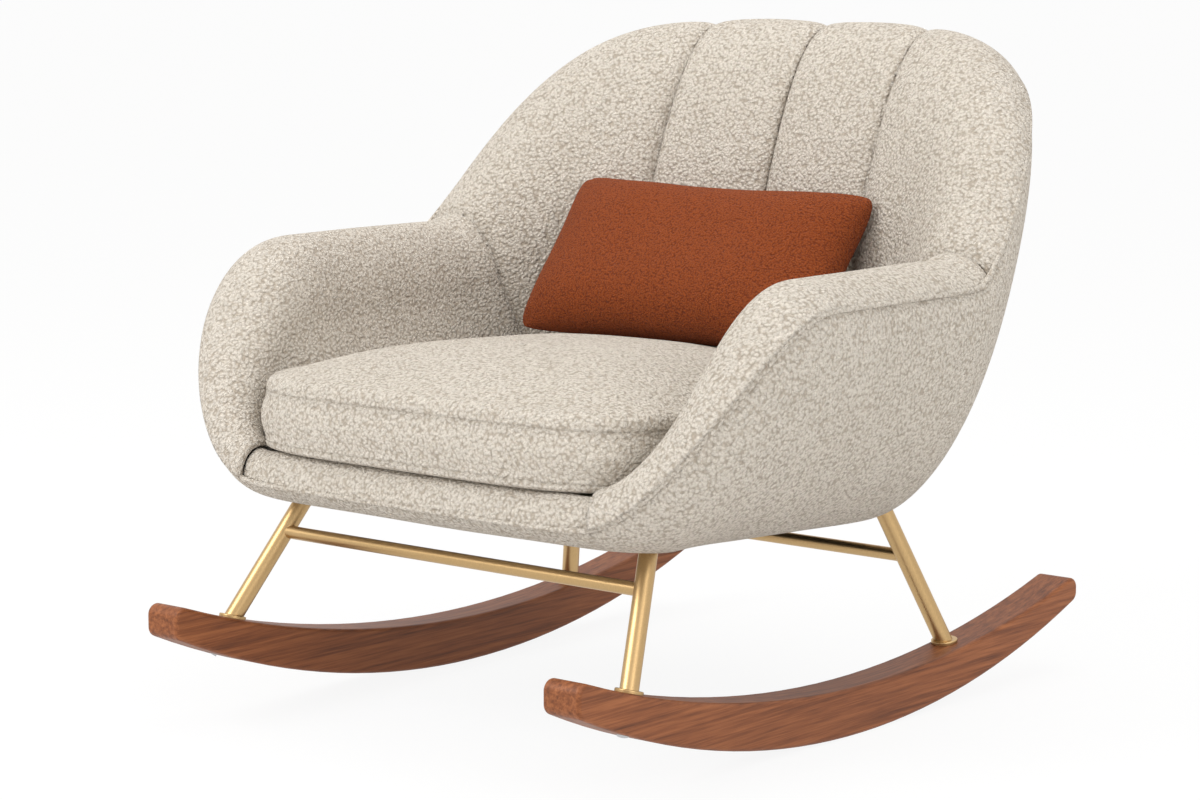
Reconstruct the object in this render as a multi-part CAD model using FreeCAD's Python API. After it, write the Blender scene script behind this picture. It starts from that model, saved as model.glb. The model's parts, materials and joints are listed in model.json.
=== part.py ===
import FreeCAD, Part
import math
import os

# Upholstered tub rocking chair, in millimetres.
# Seen from the front, X points right, Y points away and Z points up; left and right are named from there.
# The origin is on the floor, under the middle of the overall box.

# Clearances
GAP = 0.3
LAYER_GAP = 0.7
PAD_GAP = 1.2
SEAM_GAP = 0.6
FABRIC_PLAY = 1.0

# Half the width of the tub at its rim, which the seat and the legs follow
RIM_HALF_WIDTH = 399.0

# Rockers
ROCKER_LENGTH = 994.0
ROCKER_WIDTH = 53.0
ROCKER_MID_HEIGHT = 58.0
ROCKER_SOLE_RADIUS = 1265.0
ROCKER_TOP_RADIUS = 1583.0
ROCKER_REST_Y = 27.0
ROCKER_TOP_Y = 49.0
ROCKER_SPACING = 2 * (RIM_HALF_WIDTH - 86.0)
ROCKER_END_ROUND_SHARE = 0.404
ROCKER_EDGE_ROUND = 5.0

# Leg frame
LEG_DIAMETER = 22.0
LEG_WALL = 1.8
STRETCHER_DIAMETER = 16.0
STRETCHER_WALL = 1.5
FRONT_FOOT_X, FRONT_FOOT_Y = RIM_HALF_WIDTH - 86.0, -381.0
REAR_FOOT_X, REAR_FOOT_Y = RIM_HALF_WIDTH - 93.0, 244.0
LEG_LINE_Z = 280.0
FRONT_LINE_X, FRONT_LINE_Y = RIM_HALF_WIDTH - 134.0, -283.0
REAR_LINE_X, REAR_LINE_Y = RIM_HALF_WIDTH - 164.0, 176.0
FRONT_STRETCHER_Z = 220.0
REAR_STRETCHER_Z = 180.0
SOCKET_DEPTH = 12.0
COLLAR_DIAMETER = 33.0
COLLAR_HEIGHT = 4.0
PLUG_LENGTH = 30.0
BOLT_DIAMETER = 8.0
BOLT_HEAD_DIAMETER = 14.0
BOLT_HEAD_HEIGHT = 8.0
BOLT_HEAD_DEPTH = 42.0
BOLT_REACH = 14.0
BOLT_HOLE_PLAY = 0.6

# Seat base, measured upward from the tilted underside of the tub
SEAT_REF_Y = -390.0
SEAT_REF_Z = 262.0
SEAT_FALL = 0.05
COVER_THICKNESS = 4.0
SHELL_THICKNESS = 10.0
RAIL_HEIGHT = 25.7
RAIL_WIDTH = 38.0
FRAME_HALF_WIDTH = RIM_HALF_WIDTH - 127.0
FRAME_FRONT = -364.0
FRAME_BACK = 206.0
FRAME_CHAMFER = 54.0
BLOCK_SIZE = 74.0
PLATE_SIZE = 64.0
PLATE_OUTSET = 14.0
PLATE_THICKNESS = 4.0
SCREW_DIAMETER = 5.0
SCREW_HEAD_DIAMETER = 9.0
SCREW_HEAD_HEIGHT = 2.0
SCREW_LENGTH = 20.0
SCREW_EDGE = 10.0
STRAP_WIDTH = 50.0
STRAP_THICKNESS = 1.6
STRAPS_LONG = 5
STRAPS_CROSS = 5
STRAP_PITCH = 92.0
DECK_THICKNESS = 24.6
DECK_HALF_WIDTH, DECK_FRONT, DECK_BACK = RIM_HALF_WIDTH - 83.0, -346.0, 276.0
DECK_FRONT_SQUARENESS, DECK_BACK_SQUARENESS = 3.2, 2.6
DUST_COVER_THICKNESS = 1.2
DUST_COVER_LAP = 18.0
DUST_COVER_DROP = 0.6
WELT_STANDOFF = 0.5

# Tub rim: a squared oval in plan, low at the front rail, level on the arms, high at the back.
# Each triple holds the values at the front rail, the arms and the back.
RIM_CENTRE_Y = 20.0
RIM_FRONT, RIM_BACK = 405.0, 380.0
FRONT_SQUARENESS, BACK_SQUARENESS = 5.2, 2.6
FRONT_FAN, BACK_FAN = 5.2, 3.2
FRONT_RAMP_FROM, FRONT_RAMP_TO = -60.0, -26.0
BACK_RAMP_FROM, BACK_RAMP_TO = 8.6, 90.0
BACK_RISE = 2.6
RIM_HEIGHT = (329.0, 561.0, 822.0)
OUTER_ROLL = (24.0, 60.0, 52.0)
OUTER_DROP = (34.0, 48.0, 60.0)
INNER_ROLL = (14.0, 52.0, 139.0)
INNER_DROP = (14.0, 80.0, 219.0)
INNER_FULLNESS = (1.0, 1.0, 0.76)
HEM_INSET = (95.0, 136.0, 165.0)
FOOT_INSET = (16.0, 86.0, 158.0)
FOOT_LEVEL = (31.0, 69.6, 69.6)
RAIL_LEDGE_LIFT = 3.5
RAIL_LEDGE_LIP = 5.0
WALL_SHARE = (0.5, 0.34, 0.2)
TUCK_SHARE = 0.57
WELT_ANGLE = (90.0, 63.0, 63.0)
WELT_RADIUS = 3.5
WELT_END_ANGLE = 0.06
RAIL_END_ANGLE = 56.0
CHANNEL_WIDTH = 169.0
ARM_SEAM_TOP_Y, ARM_SEAM_TOP_Z = 118.0, 561.0
ARM_SEAM_LOW_Y, ARM_SEAM_LOW_Z = 146.0, 415.0
ARM_SEAM_INNER_X = RIM_HALF_WIDTH - 171.0
SECTION_STEP = 3.0

# Seat cushion
CUSHION_HALF_WIDTH, CUSHION_FRONT, CUSHION_BACK = RIM_HALF_WIDTH - 95.0, -412.0, 196.0
CUSHION_CENTRE_Y = -90.0
CUSHION_FRONT_SQUARENESS, CUSHION_BACK_SQUARENESS = 5.0, 2.9
CUSHION_BORDER = 66.0
CUSHION_UNDER_CROWN = 17.0
CUSHION_CROWN = 56.0
CUSHION_COVER_WALL = 2.5

# Lumbar pillow
PILLOW_WIDTH, PILLOW_HEIGHT, PILLOW_THICKNESS = 464.0, 234.0, 114.0
PILLOW_MIDDLE_X = -16.0
PILLOW_FOOT_Y, PILLOW_FOOT_Z = 74.4, 434.7
PILLOW_LEAN = 37.0
PILLOW_SQUARENESS = 7.0
PILLOW_COVER_WALL = 2.0


def vec(x, y, z):
    return FreeCAD.Vector(x, y, z)


def save(node, shape):
    shape.exportStep("parts/" + node + ".step")


def group(shapes):
    return Part.makeCompound(shapes)


def mirrored(shape):
    return shape.mirror(vec(0, 0, 0), vec(1, 0, 0))


def bezier(a, b, c, d, t):
    s = 1.0 - t
    return s ** 3 * a + 3 * s * s * t * b + 3 * s * t * t * c + t ** 3 * d


# The seat base is drawn level and then laid on the tilted underside plane.
SEAT_TILT = math.degrees(math.atan(SEAT_FALL))
SEAT_PLACE = FreeCAD.Placement(vec(0, SEAT_REF_Y, SEAT_REF_Z), FreeCAD.Rotation(vec(1, 0, 0), -SEAT_TILT))


def on_seat(shape):
    placed = shape.copy()
    placed.translate(vec(0, -SEAT_REF_Y, 0))
    placed.Placement = SEAT_PLACE.multiply(placed.Placement)
    return placed


def underside_z(y):
    return SEAT_REF_Z - SEAT_FALL * (y - SEAT_REF_Y)


# Rocker sole and top as heights along Y
def sole_z(y):
    return ROCKER_SOLE_RADIUS - math.sqrt(ROCKER_SOLE_RADIUS ** 2 - (y - ROCKER_REST_Y) ** 2)


def top_z(y):
    drop = math.sqrt(ROCKER_TOP_RADIUS ** 2 - (y - ROCKER_TOP_Y) ** 2)
    return ROCKER_MID_HEIGHT + ROCKER_TOP_RADIUS - drop


class Leg:
    """Axis of one leg: its foot on the rocker's top and the direction up along the tube."""

    def __init__(self, foot_x, foot_y, line_x, line_y, side):
        self.foot = vec(side * foot_x, foot_y, top_z(foot_y))
        self.up = vec(side * line_x, line_y, LEG_LINE_Z).sub(self.foot).normalize()
        slope = (ROCKER_TOP_Y - foot_y) / ROCKER_TOP_RADIUS
        self.normal = vec(0, slope, math.sqrt(1 - slope ** 2))
        self.side = side

    def at(self, distance):
        return self.foot + self.up * distance

    def at_height(self, z):
        return self.at((z - self.foot.z) / self.up.z)

    def rod(self, diameter, low, high):
        return Part.makeCylinder(diameter / 2, high - low, self.at(low), self.up)

    def plate_centre(self):
        """Middle of the plate on the leg's top, set inward from the axis, in the level seat drawing."""
        inverse = SEAT_PLACE.inverse()
        start = inverse.multVec(self.foot)
        step = inverse.multVec(self.at(1.0)).sub(start)
        hit = start + step * ((FRAME_LEVEL - start.z) / step.z)
        inward = PLATE_SIZE / 2 - PLATE_OUTSET
        ahead = 1 if self.foot.y < 0 else -1
        return vec(hit.x - self.side * inward, hit.y + SEAT_REF_Y + ahead * inward, FRAME_LEVEL)


# Levels of the seat base above the underside plane
SHELL_LEVEL = COVER_THICKNESS + LAYER_GAP
FRAME_LEVEL = SHELL_LEVEL + SHELL_THICKNESS + GAP
FRAME_TOP = FRAME_LEVEL + RAIL_HEIGHT
LONG_STRAP_LEVEL = FRAME_TOP + GAP
CROSS_STRAP_LEVEL = LONG_STRAP_LEVEL + STRAP_THICKNESS + GAP
DECK_LEVEL = CROSS_STRAP_LEVEL + STRAP_THICKNESS + GAP
CUSHION_LEVEL = DECK_LEVEL + DECK_THICKNESS + GAP

LEGS = {
    "front_leg_left": Leg(FRONT_FOOT_X, FRONT_FOOT_Y, FRONT_LINE_X, FRONT_LINE_Y, -1),
    "front_leg_right": Leg(FRONT_FOOT_X, FRONT_FOOT_Y, FRONT_LINE_X, FRONT_LINE_Y, 1),
    "rear_leg_left": Leg(REAR_FOOT_X, REAR_FOOT_Y, REAR_LINE_X, REAR_LINE_Y, -1),
    "rear_leg_right": Leg(REAR_FOOT_X, REAR_FOOT_Y, REAR_LINE_X, REAR_LINE_Y, 1),
}
LONG_REACH = 2.0 * ROCKER_LENGTH


def leg_holes(play):
    """Clearance rods round every leg, for the fabric and shell that the legs pass through."""
    return [leg.rod(LEG_DIAMETER + 2 * play, 0, SEAT_REF_Z + LEG_LINE_Z) for leg in LEGS.values()]


# Rockers, bored for the leg ends and the bolts
def rocker(side):
    half = ROCKER_LENGTH / 2
    corners = [vec(0, y, f(y)) for f, y in ((sole_z, -half), (sole_z, half), (top_z, half), (top_z, -half))]
    sole = Part.Arc(corners[0], vec(0, ROCKER_REST_Y, sole_z(ROCKER_REST_Y)), corners[1]).toShape()
    top = Part.Arc(corners[2], vec(0, ROCKER_TOP_Y, top_z(ROCKER_TOP_Y)), corners[3]).toShape()
    ends = [Part.makeLine(corners[1], corners[2]), Part.makeLine(corners[3], corners[0])]
    face = Part.Face(Part.Wire([sole, ends[0], top, ends[1]]))
    bar = face.extrude(vec(ROCKER_WIDTH, 0, 0))
    bar.translate(vec(side * ROCKER_SPACING / 2 - ROCKER_WIDTH / 2, 0, 0))
    across = [e for e in bar.Edges if abs(e.tangentAt(e.FirstParameter).x) > 0.99]
    bar = bar.makeFillet(ROCKER_END_ROUND_SHARE * (top_z(half) - sole_z(half)), across)
    sides = [f for f in bar.Faces if abs(f.normalAt(0, 0).x) > 0.99]
    bar = bar.makeFillet(ROCKER_EDGE_ROUND, [e for f in sides for e in f.Edges])
    for leg in LEGS.values():
        if leg.side == side:
            bar = bar.cut(leg.rod(LEG_DIAMETER + 2 * GAP, -SOCKET_DEPTH - GAP, ROCKER_MID_HEIGHT))
            bar = bar.cut(leg.rod(BOLT_DIAMETER + BOLT_HOLE_PLAY, -LONG_REACH, 0))
            bore = BOLT_HEAD_DIAMETER + 2 * BOLT_HOLE_PLAY
            bar = bar.cut(leg.rod(bore, -LONG_REACH, -BOLT_HEAD_DEPTH))
    return bar


def leg_tube(leg):
    tube = leg.rod(LEG_DIAMETER, -SOCKET_DEPTH, LONG_REACH)
    tube = tube.cut(leg.rod(LEG_DIAMETER - 2 * LEG_WALL, -SOCKET_DEPTH, LONG_REACH))
    above = Part.makeBox(LONG_REACH, LONG_REACH, LONG_REACH * 2, vec(-LONG_REACH / 2, -LONG_REACH / 2, FRAME_LEVEL))
    return tube.cut(on_seat(above))


def collar(leg):
    ring = Part.makeCylinder(COLLAR_DIAMETER / 2, COLLAR_HEIGHT, leg.foot + leg.normal * GAP, leg.normal)
    edge = [e for e in ring.Edges if e.Closed and e.CenterOfMass.z > ring.CenterOfMass.z]
    ring = ring.makeFillet(COLLAR_HEIGHT / 3, edge)
    return ring.cut(leg.rod(LEG_DIAMETER + GAP, -LEG_DIAMETER, LEG_DIAMETER))


def foot_plug(leg):
    plug = leg.rod(LEG_DIAMETER - 2 * LEG_WALL, -SOCKET_DEPTH, PLUG_LENGTH - SOCKET_DEPTH)
    return plug.cut(leg.rod(BOLT_DIAMETER, -SOCKET_DEPTH, PLUG_LENGTH))


def rocker_bolt(leg):
    shank = leg.rod(BOLT_DIAMETER, -BOLT_HEAD_DEPTH, BOLT_REACH)
    head = leg.rod(BOLT_HEAD_DIAMETER, -BOLT_HEAD_DEPTH - BOLT_HEAD_HEIGHT, -BOLT_HEAD_DEPTH)
    return shank.fuse(head).removeSplitter()


def stretcher(z, left, right):
    ends = left.at_height(z), right.at_height(z)
    span = ends[1].sub(ends[0])
    bar = Part.makeCylinder(STRETCHER_DIAMETER / 2, span.Length, ends[0], span)
    bar = bar.cut(Part.makeCylinder(STRETCHER_DIAMETER / 2 - STRETCHER_WALL, span.Length, ends[0], span))
    for leg in (left, right):
        bar = bar.cut(leg.rod(LEG_DIAMETER, 0, LONG_REACH))
    return bar


# Seat base
def seat_box(x0, x1, y0, y1, level, height):
    return Part.makeBox(x1 - x0, y1 - y0, height, vec(x0, y0, level))


def plate_pocket():
    """Room let into the frame for the plates and their screws."""
    cuts = []
    for leg in LEGS.values():
        centre = leg.plate_centre()
        half = PLATE_SIZE / 2 + GAP
        cuts.append(seat_box(centre.x - half, centre.x + half, centre.y - half, centre.y + half,
                             FRAME_LEVEL, PLATE_THICKNESS))
        for x, y in screw_places(centre):
            cuts.append(Part.makeCylinder(SCREW_DIAMETER / 2, SCREW_LENGTH, vec(x, y, FRAME_LEVEL)))
    return cuts


def screw_places(centre):
    reach = PLATE_SIZE / 2 - SCREW_EDGE
    return [(centre.x + i * reach, centre.y + j * reach) for i in (-1, 1) for j in (-1, 1)]


def leg_plate(leg):
    centre = leg.plate_centre()
    half = PLATE_SIZE / 2
    plate = seat_box(centre.x - half, centre.x + half, centre.y - half, centre.y + half,
                     FRAME_LEVEL, PLATE_THICKNESS)
    for x, y in screw_places(centre):
        plate = plate.cut(Part.makeCylinder(SCREW_DIAMETER / 2, PLATE_THICKNESS, vec(x, y, FRAME_LEVEL)))
        plate = plate.cut(Part.makeCylinder(SCREW_HEAD_DIAMETER / 2, SCREW_HEAD_HEIGHT, vec(x, y, FRAME_LEVEL)))
    return on_seat(plate)


def plate_screws(leg):
    screws = []
    for x, y in screw_places(leg.plate_centre()):
        head = Part.makeCylinder(SCREW_HEAD_DIAMETER / 2, SCREW_HEAD_HEIGHT, vec(x, y, FRAME_LEVEL))
        shank = Part.makeCylinder(SCREW_DIAMETER / 2, SCREW_LENGTH, vec(x, y, FRAME_LEVEL))
        screws.append(on_seat(head.fuse(shank).removeSplitter()))
    return screws


def framed(piece):
    for cut in plate_pocket():
        piece = piece.cut(cut)
    return on_seat(piece)


def chamfered_end(piece):
    """Takes the outer back corner off a side rail, where the tub rounds inward."""
    corner = vec(FRAME_HALF_WIDTH, FRAME_BACK, 0)
    points = [corner, corner - vec(FRAME_CHAMFER, 0, 0), corner - vec(0, FRAME_CHAMFER, 0), corner]
    wedge = Part.Face(Part.makePolygon(points)).extrude(vec(0, 0, FRAME_TOP + RAIL_HEIGHT))
    return piece.cut(wedge)


def side_rail(side):
    rail = seat_box(FRAME_HALF_WIDTH - RAIL_WIDTH, FRAME_HALF_WIDTH, FRAME_FRONT, FRAME_BACK,
                    FRAME_LEVEL, RAIL_HEIGHT)
    rail = chamfered_end(rail)
    return framed(rail if side > 0 else mirrored(rail))


def cross_rail(y):
    half = FRAME_HALF_WIDTH - RAIL_WIDTH
    return framed(seat_box(-half, half, y, y + RAIL_WIDTH, FRAME_LEVEL, RAIL_HEIGHT))


def corner_blocks():
    inner = FRAME_HALF_WIDTH - RAIL_WIDTH
    blocks = []
    for side in (-1, 1):
        for y in (FRAME_FRONT + RAIL_WIDTH, FRAME_BACK - RAIL_WIDTH - BLOCK_SIZE):
            x0 = inner - BLOCK_SIZE if side > 0 else -inner
            blocks.append(framed(seat_box(x0, x0 + BLOCK_SIZE, y, y + BLOCK_SIZE, FRAME_LEVEL, RAIL_HEIGHT)))
    return group(blocks)


def centred(count, pitch):
    return [(i - (count - 1) / 2) * pitch for i in range(count)]


def straps_long():
    return group([on_seat(seat_box(x - STRAP_WIDTH / 2, x + STRAP_WIDTH / 2, FRAME_FRONT, FRAME_BACK,
                                   LONG_STRAP_LEVEL, STRAP_THICKNESS))
                  for x in centred(STRAPS_LONG, STRAP_PITCH)])


def straps_cross():
    middle = (FRAME_FRONT + FRAME_BACK) / 2
    return group([on_seat(seat_box(-FRAME_HALF_WIDTH, FRAME_HALF_WIDTH, middle + y - STRAP_WIDTH / 2,
                                   middle + y + STRAP_WIDTH / 2, CROSS_STRAP_LEVEL, STRAP_THICKNESS))
                  for y in centred(STRAPS_CROSS, STRAP_PITCH)])


# Closed outlines
def oval_point(angle, half, front, back, centre_y, front_power, back_power):
    """Point of a squared oval with its own depth and squareness before and behind its centre."""
    c, s = math.cos(angle), math.sin(angle)
    depth = centre_y - front if s < 0 else back - centre_y
    power = front_power if s < 0 else back_power
    reach = (abs(c / half) ** power + abs(s / depth) ** power) ** (-1.0 / power)
    return reach * c, centre_y + reach * s


def smooth_loop(points):
    curve = Part.BSplineCurve()
    curve.interpolate(Points=points, PeriodicFlag=True)
    return Part.Wire([curve.toShape()])


OVAL_POINTS = 40
OVAL_ANGLES = [2 * math.pi * (i + 0.5) / OVAL_POINTS for i in range(OVAL_POINTS)]


def deck_pad():
    middle = (DECK_FRONT + DECK_BACK) / 2
    loop = smooth_loop([vec(*oval_point(a, DECK_HALF_WIDTH, DECK_FRONT, DECK_BACK, middle,
                                        DECK_FRONT_SQUARENESS, DECK_BACK_SQUARENESS), DECK_LEVEL)
                        for a in OVAL_ANGLES])
    return on_seat(Part.Face(loop).extrude(vec(0, 0, DECK_THICKNESS)))


# Tub sections
def smooth_ramp(t):
    t = min(max(t, 0.0), 1.0)
    return t ** 3 * (10 + t * (6 * t - 15))


def ease(t):
    t = min(max(t, 0.0), 1.0)
    return t * t * (3 - 2 * t)


class Section:
    """Vertical section through the tub at one angle round the rim.

    Offsets r run outward from the rim line and z is the height."""

    def __init__(self, degrees):
        angle = math.radians(degrees)
        c, s = math.cos(angle), math.sin(angle)
        front = s < 0
        depth = RIM_FRONT if front else RIM_BACK
        power = FRONT_SQUARENESS if front else BACK_SQUARENESS
        fan = FRONT_FAN if front else BACK_FAN
        reach = (abs(c / RIM_HALF_WIDTH) ** power + abs(s / depth) ** power) ** (-1.0 / power)
        self.x, self.y = reach * c, RIM_CENTRE_Y + reach * s
        out_x = math.copysign(abs(reach * c / RIM_HALF_WIDTH) ** (fan - 1) / RIM_HALF_WIDTH, c)
        out_y = math.copysign(abs(reach * s / depth) ** (fan - 1) / depth, s)
        length = math.hypot(out_x, out_y)
        self.out_x, self.out_y = out_x / length, out_y / length
        lift = math.degrees(math.asin(s))
        self.arm = smooth_ramp((lift - FRONT_RAMP_FROM) / (FRONT_RAMP_TO - FRONT_RAMP_FROM))
        climb = min(max((lift - BACK_RAMP_FROM) / (BACK_RAMP_TO - BACK_RAMP_FROM), 0.0), 1.0)
        self.back = ease(1 - (1 - climb) ** BACK_RISE)
        self.rim = self.mix(RIM_HEIGHT)
        self.roll, self.drop = self.mix(OUTER_ROLL), self.mix(OUTER_DROP)
        self.inner_roll, self.inner_drop = self.mix(INNER_ROLL), self.mix(INNER_DROP)
        self.fullness = self.mix(INNER_FULLNESS)
        self.wall = self.mix(WALL_SHARE)
        self.hem, self.foot = -self.mix(HEM_INSET), -self.mix(FOOT_INSET)
        self.welt = self.mix(WELT_ANGLE) / 90.0
        self.foot_z = self.underside(self.foot) + self.mix(FOOT_LEVEL)

    def mix(self, triple):
        rail, arm, back = triple
        return rail + (arm - rail) * self.arm + (back - arm) * self.back

    def underside(self, r):
        return underside_z(self.y + r * self.out_y)

    def outer(self, t):
        """Outer face: t 0 to 1 from the rim over the roll, 1 to 2 down the wall to the hem."""
        if t <= 1:
            a = t * math.pi / 2
            return self.roll * math.sin(a), self.rim - self.drop * (1 - math.cos(a))
        top = self.rim - self.drop
        tuck = self.hem + TUCK_SHARE * (self.roll - self.hem)
        wall = self.wall * (top - self.underside(self.hem))
        r = bezier(self.roll, self.roll, tuck, self.hem, t - 1)
        z = bezier(top, top - wall, self.underside(tuck), self.underside(self.hem), t - 1)
        return r, z

    def inner(self, t):
        """Inner face: t 0 to 1 from the rim over the roll, 1 to 2 down the wall to its foot."""
        low = self.rim - self.inner_drop
        if t <= 1:
            lead = 0.55 * self.fullness ** 1.5
            r = bezier(0, -lead * self.inner_roll, -self.fullness * self.inner_roll, -self.inner_roll, t)
            return r, bezier(self.rim, self.rim, self.rim - 0.45 * self.inner_drop, low, t)
        height = low - self.foot_z
        carry = (1 - self.fullness) * self.inner_roll * 0.6 * height / self.inner_drop
        r = bezier(-self.inner_roll, -self.inner_roll - carry, self.foot, self.foot, t - 1)
        return r, bezier(low, low - height / 3, self.foot_z + 0.4 * height, self.foot_z, t - 1)

    def within(self, t, depth):
        """Point of the outer face moved inward by a depth."""
        step = 1e-4
        (r0, z0), (r1, z1) = self.outer(t - step), self.outer(t + step)
        length = math.hypot(r1 - r0, z1 - z0)
        r, z = self.outer(t)
        return r + depth * (z1 - z0) / length, z - depth * (r1 - r0) / length

    def depth_at(self, level, depth):
        """Parameter where the face at a depth comes down to a level."""
        low, high = 1.0, 2.0
        for _ in range(40):
            middle = (low + high) / 2
            if self.within(middle, depth)[1] > level:
                low = middle
            else:
                high = middle
        return low

    def place(self, point):
        r, z = point
        return vec(self.x + r * self.out_x, self.y + r * self.out_y, z)

    def layer(self, depth, start, stop, count):
        return [self.place(self.within(start + (stop - start) * i / (count - 1), depth)) for i in range(count)]


def angles(start, stop):
    count = max(2, math.ceil((stop - start) / SECTION_STEP) + 1)
    return [start + (stop - start) * i / (count - 1) for i in range(count)]


def knots(count):
    """Even knots and their multiplicities for a clamped cubic with this many control points."""
    spans = count - 3
    return [float(i) for i in range(spans + 1)], [4] + [1] * (spans - 1) + [4]


def surface(rows):
    """Smooth surface that takes a grid of points as its control points."""
    u_knots, u_mults = knots(len(rows))
    v_knots, v_mults = knots(len(rows[0]))
    face = Part.BSplineSurface()
    face.buildFromPolesMultsKnots(rows, u_mults, v_mults, u_knots, v_knots, False, False, 3, 3)
    return face


def body_between(sections, front, back):
    """Solid between two grids of points that share their sections."""
    a, b = surface([front(s) for s in sections]), surface([back(s) for s in sections])
    u0, u1, v0, v1 = a.bounds()
    p0, p1, q0, q1 = b.bounds()
    faces = [a.toShape(), b.toShape()]
    for va, vb in ((v0, q0), (v1, q1)):
        faces.append(Part.makeRuledSurface(a.vIso(va).toShape(), b.vIso(vb).toShape(), 1))
    for ua, ub in ((u0, p0), (u1, p1)):
        faces.append(Part.makeRuledSurface(a.uIso(ua).toShape(), b.uIso(ub).toShape(), 1))
    return sewn(faces)


def sewn(faces):
    shell = Part.makeShell(faces)
    shell.sewShape()
    body = Part.makeSolid(shell)
    if body.Volume < 0:
        body.reverse()
    return body


WALL_POINTS = 18
SHELL_TOP_GAP = 0.02


def cover_layer(s):
    return s.layer(0.0, s.welt + SHELL_TOP_GAP, 2.0 - 1e-3, WALL_POINTS)


def cover_lining(s):
    return s.layer(COVER_THICKNESS, s.welt + SHELL_TOP_GAP, 2.0 - 1e-3, WALL_POINTS)


def shell_face(s):
    return s.layer(COVER_THICKNESS + LAYER_GAP, s.welt + SHELL_TOP_GAP, 2.0 - 1e-3, WALL_POINTS)


def shell_back(s):
    return s.layer(COVER_THICKNESS + LAYER_GAP + SHELL_THICKNESS, s.welt + SHELL_TOP_GAP, 2.0 - 1e-3, WALL_POINTS)


PAD_DEPTH = COVER_THICKNESS + SHELL_THICKNESS + LAYER_GAP + PAD_GAP
BACK_HOLLOW = 70.0
HOLLOW_EASE = 0.3
ROLL_POINTS = 6
INNER_POINTS = 12


def pad_skin(s):
    over = [s.place(s.outer(s.welt * (1 - i / ROLL_POINTS))) for i in range(ROLL_POINTS)]
    down = [s.place(s.inner(2 * i / INNER_POINTS)) for i in range(INNER_POINTS + 1)]
    return over + down


def pad_lining(s):
    """Back of the padding: along the shell on the arms, clear of it in the middle of the back where the padding
    spans a hollow, and a plain ledge along the front rail."""
    stop = s.depth_at(s.foot_z, PAD_DEPTH)
    ledge_r, ledge_z = s.roll - PAD_DEPTH, s.outer(s.welt)[1] + RAIL_LEDGE_LIFT
    points = []
    for i in range(ROLL_POINTS + INNER_POINTS + 1):
        share = i / (ROLL_POINTS + INNER_POINTS)
        hollow = BACK_HOLLOW * s.back * smooth_ramp(share / HOLLOW_EASE) * smooth_ramp((1 - share) / HOLLOW_EASE)
        r, z = s.within(s.welt + (stop - s.welt) * share, PAD_DEPTH + hollow)
        flat_r = ledge_r + (s.foot + RAIL_LEDGE_LIP - ledge_r) * share
        flat_z = ledge_z + (s.foot_z - ledge_z) * share
        points.append(s.place((flat_r + (r - flat_r) * s.arm, flat_z + (z - flat_z) * s.arm)))
    return points


def welt_loop():
    """Piping round the whole rim, with its two ends butted at the middle of the back."""
    rings = []
    for degrees in angles(90.0 + WELT_END_ANGLE, 450.0 - WELT_END_ANGLE):
        s = Section(degrees)
        middle = s.place(s.within(s.welt, -WELT_RADIUS - WELT_STANDOFF))
        along = vec(s.out_y, -s.out_x, 0)
        rings.append(Part.Wire([Part.makeCircle(WELT_RADIUS, middle, along)]))
    return Part.makeLoft(rings, True, True)


# The layers of the tub share one set of sections, from the middle of the front to the middle of the back.
HALF_TUB = [Section(a) for a in angles(-90.0, 90.0)]


def seat_room():
    """Room that the seat frame, its leg plates and the straps take, with a gap round them."""
    room = [seat_box(-FRAME_HALF_WIDTH - GAP, FRAME_HALF_WIDTH + GAP, FRAME_FRONT - GAP, FRAME_BACK + GAP,
                     FRAME_LEVEL - GAP, DECK_LEVEL - FRAME_LEVEL)]
    half = PLATE_SIZE / 2 + GAP
    for leg in LEGS.values():
        centre = leg.plate_centre()
        room.append(seat_box(centre.x - half, centre.x + half, centre.y - half, centre.y + half,
                             FRAME_LEVEL - GAP, PLATE_THICKNESS + 2 * GAP))
    return [on_seat(box) for box in room] + leg_holes(FABRIC_PLAY)


def clear_of_seat(body):
    for room in seat_room():
        body = body.cut(room)
    return body


def both_sides(right):
    return right.fuse(mirrored(right))


def tub_shell():
    return both_sides(clear_of_seat(body_between(HALF_TUB, shell_face, shell_back)))


def rail_zone(grow):
    """Everything between the middle and the seam at the right end of the front rail."""
    s = Section(-RAIL_END_ANGLE)
    box = Part.makeBox(LONG_REACH, 2 * LONG_REACH, 2 * LONG_REACH, vec(grow - LONG_REACH, -LONG_REACH, -LONG_REACH))
    box.rotate(vec(0, 0, 0), vec(0, 0, 1), math.degrees(math.atan2(s.out_x, -s.out_y)))
    box.translate(vec(s.x, s.y, 0))
    return box.common(Part.makeBox(LONG_REACH, LONG_REACH, 2 * LONG_REACH, vec(0, -LONG_REACH, -LONG_REACH)))


def upright(x0, x1):
    return Part.makeBox(x1 - x0, 2 * LONG_REACH, 2 * LONG_REACH, vec(x0, -LONG_REACH, -LONG_REACH))


def arm_zone(grow):
    """Everything on the right that lies before the slanting seam between arm and back."""
    fall = math.atan2(ARM_SEAM_LOW_Y - ARM_SEAM_TOP_Y, ARM_SEAM_TOP_Z - ARM_SEAM_LOW_Z)
    box = Part.makeBox(LONG_REACH, LONG_REACH, 2 * LONG_REACH,
                       vec(ARM_SEAM_INNER_X - grow, grow - LONG_REACH, -LONG_REACH))
    box.rotate(vec(0, 0, 0), vec(1, 0, 0), math.degrees(fall))
    box.translate(vec(0, ARM_SEAM_TOP_Y, ARM_SEAM_TOP_Z))
    return box


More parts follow.
